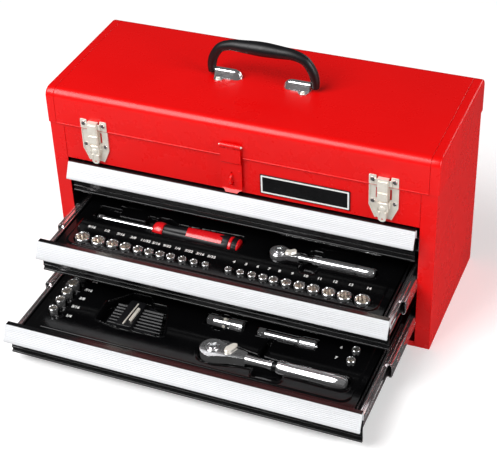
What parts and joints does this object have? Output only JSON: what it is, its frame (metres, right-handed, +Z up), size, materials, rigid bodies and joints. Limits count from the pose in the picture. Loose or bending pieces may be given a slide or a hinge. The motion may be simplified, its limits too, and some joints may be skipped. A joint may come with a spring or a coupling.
{
  "type": "socket wrench set in case",
  "caption": "Portable steel tool chest with a hinged lid and sliding drawers; open drawers hold sockets, ratchets, a driver, extension bars and hex keys in moulded trays.",
  "frame": {"origin": "centre of the chest's base, on the surface that it stands on", "axes": "+Z up, +X to the right seen from the front, drawers open towards -Y"},
  "size_m": [0.52, 0.4237, 0.3435],
  "materials": {
    "red_powder_coat": "glossy powder coat",
    "black_paint": "satin black enamel",
    "black_tray": "glossy vacuum-formed sheet",
    "black_grip": "satin moulded plastic",
    "red_grip": "moulded red plastic",
    "white_print": "printed numbers",
    "aluminium": "ribbed extrusion, bright satin",
    "zinc": "zinc-plated pressed steel",
    "nickel": "nickel plate",
    "chrome": "polished chrome"
  },
  "bodies": {
    "chest": {"left_side_panel": "red_powder_coat", "right_side_panel": "red_powder_coat", "back_panel": "red_powder_coat", "base_panel": "red_powder_coat", "front_panel": "red_powder_coat", "compartment_floor": "red_powder_coat", "slide_carrier_left": "black_paint", "slide_carrier_right": "black_paint", "hinge_leaf_body": "red_powder_coat", "hinge_pin": "zinc", "latch_base_left": "nickel", "latch_base_right": "nickel", "hasp_staple": "red_powder_coat", "badge_plate": "black_paint"},
    "lid": {"lid_shell": "red_powder_coat", "lid_end_left": "red_powder_coat", "lid_end_right": "red_powder_coat", "hinge_leaf_lid": "red_powder_coat", "latch_keeper_left": "nickel", "latch_keeper_right": "nickel", "hasp_leaf": "red_powder_coat", "handle_bracket_left": "chrome", "handle_bracket_right": "chrome"},
    "handle": {"handle_grip": "black_grip"},
    "hasp": {"hasp_strap": "red_powder_coat"},
    "lever_left": {"latch_lever_left": "nickel"},
    "lever_right": {"latch_lever_right": "nickel"},
    "loop_left": {"latch_loop_left": "nickel"},
    "loop_right": {"latch_loop_right": "nickel"},
    "drawer_bottom": {"bottom_drawer": "black_paint", "bottom_drawer_pull": "aluminium", "bottom_drawer_rail_left": "zinc", "bottom_drawer_rail_right": "zinc", "bottom_tray": "black_tray", "deep_socket_row": "chrome", "loose_metric_sockets": "chrome", "hex_key_set": "black_grip", "universal_joint": "chrome", "short_extension_bar": "chrome", "large_ratchet_body": "chrome"},
    "drawer_middle": {"middle_drawer": "black_paint", "middle_drawer_pull": "aluminium", "middle_drawer_rail_left": "zinc", "middle_drawer_rail_right": "zinc", "middle_tray": "black_tray", "socket_row": "chrome", "driver_handle": "black_grip", "small_ratchet": "chrome"},
    "drawer_top": {"top_drawer": "black_paint", "top_drawer_pull": "aluminium", "top_drawer_rail_left": "zinc", "top_drawer_rail_right": "zinc"},
    "ratchet_gear": {"large_ratchet_gear": "chrome"},
    "ratchet_lever": {"large_ratchet_lever": "chrome"},
    "slide_bottom_left": {"bottom_middle_rail_left": "zinc"},
    "slide_bottom_right": {"bottom_middle_rail_right": "zinc"},
    "slide_middle_left": {"middle_middle_rail_left": "zinc"},
    "slide_middle_right": {"middle_middle_rail_right": "zinc"},
    "slide_top_left": {"top_middle_rail_left": "zinc"},
    "slide_top_right": {"top_middle_rail_right": "zinc"}
  },
  "joints": [
    {"name": "lid_hinge", "type": "hinge", "parent": "chest", "child": "lid", "pos_m": [0, 0.1066, 0.238], "axis": [-1, 0, 0], "range_deg": [0, 95]},
    {"name": "handle_swing", "type": "hinge", "parent": "lid", "child": "handle", "pos_m": [0, 0, 0.2925], "axis": [1, 0, 0], "range_deg": [-80, 80]},
    {"name": "hasp_swing", "type": "hinge", "parent": "lid", "child": "hasp", "pos_m": [-0.0025, -0.107, 0.256], "axis": [-1, 0, 0], "range_deg": [0, 150]},
    {"name": "latch_lever_left", "type": "hinge", "parent": "chest", "child": "lever_left", "pos_m": [-0.193, -0.1062, 0.2145], "axis": [-1, 0, 0], "range_deg": [0, 150]},
    {"name": "latch_lever_right", "type": "hinge", "parent": "chest", "child": "lever_right", "pos_m": [0.193, -0.1062, 0.2145], "axis": [-1, 0, 0], "range_deg": [0, 150]},
    {"name": "latch_loop_left", "type": "hinge", "parent": "lever_left", "child": "loop_left", "pos_m": [-0.193, -0.1062, 0.206], "axis": [-1, 0, 0], "range_deg": [-150, 0]},
    {"name": "latch_loop_right", "type": "hinge", "parent": "lever_right", "child": "loop_right", "pos_m": [0.193, -0.1062, 0.206], "axis": [-1, 0, 0], "range_deg": [-150, 0]},
    {"name": "drawer_bottom_slide", "type": "slide", "parent": "chest", "child": "drawer_bottom", "axis": [0, -1, 0], "range_m": [-0.197, 0.003]},
    {"name": "drawer_middle_slide", "type": "slide", "parent": "chest", "child": "drawer_middle", "axis": [0, -1, 0], "range_m": [-0.099, 0.101]},
    {"name": "drawer_top_slide", "type": "slide", "parent": "chest", "child": "drawer_top", "axis": [0, -1, 0], "range_m": [0, 0.2]},
    {"name": "slide_bottom_left", "type": "slide", "parent": "chest", "child": "slide_bottom_left", "axis": [0, -1, 0], "range_m": [-0.0985, 0.0015]},
    {"name": "slide_bottom_right", "type": "slide", "parent": "chest", "child": "slide_bottom_right", "axis": [0, -1, 0], "range_m": [-0.0985, 0.0015]},
    {"name": "slide_middle_left", "type": "slide", "parent": "chest", "child": "slide_middle_left", "axis": [0, -1, 0], "range_m": [-0.0495, 0.0505]},
    {"name": "slide_middle_right", "type": "slide", "parent": "chest", "child": "slide_middle_right", "axis": [0, -1, 0], "range_m": [-0.0495, 0.0505]},
    {"name": "slide_top_left", "type": "slide", "parent": "chest", "child": "slide_top_left", "axis": [0, -1, 0], "range_m": [0, 0.1]},
    {"name": "slide_top_right", "type": "slide", "parent": "chest", "child": "slide_top_right", "axis": [0, -1, 0], "range_m": [0, 0.1]},
    {"name": "ratchet_gear_turn", "type": "hinge", "parent": "drawer_bottom", "child": "ratchet_gear", "pos_m": [0.026, -0.252, 0.052], "axis": [0, 0, 1], "continuous": true},
    {"name": "ratchet_lever_turn", "type": "hinge", "parent": "drawer_bottom", "child": "ratchet_lever", "pos_m": [0.046, -0.252, 0.052], "axis": [0, 0, 1], "range_deg": [-20, 20]}
  ],
  "couplings": [
    {"joint": "latch_loop_left", "follows": "latch_lever_left", "ratio": -1},
    {"joint": "latch_loop_right", "follows": "latch_lever_right", "ratio": -1},
    {"joint": "slide_bottom_left", "follows": "drawer_bottom_slide", "ratio": 0.5},
    {"joint": "slide_bottom_right", "follows": "drawer_bottom_slide", "ratio": 0.5},
    {"joint": "slide_middle_left", "follows": "drawer_middle_slide", "ratio": 0.5},
    {"joint": "slide_middle_right", "follows": "drawer_middle_slide", "ratio": 0.5},
    {"joint": "slide_top_left", "follows": "drawer_top_slide", "ratio": 0.5},
    {"joint": "slide_top_right", "follows": "drawer_top_slide", "ratio": 0.5}
  ]
}
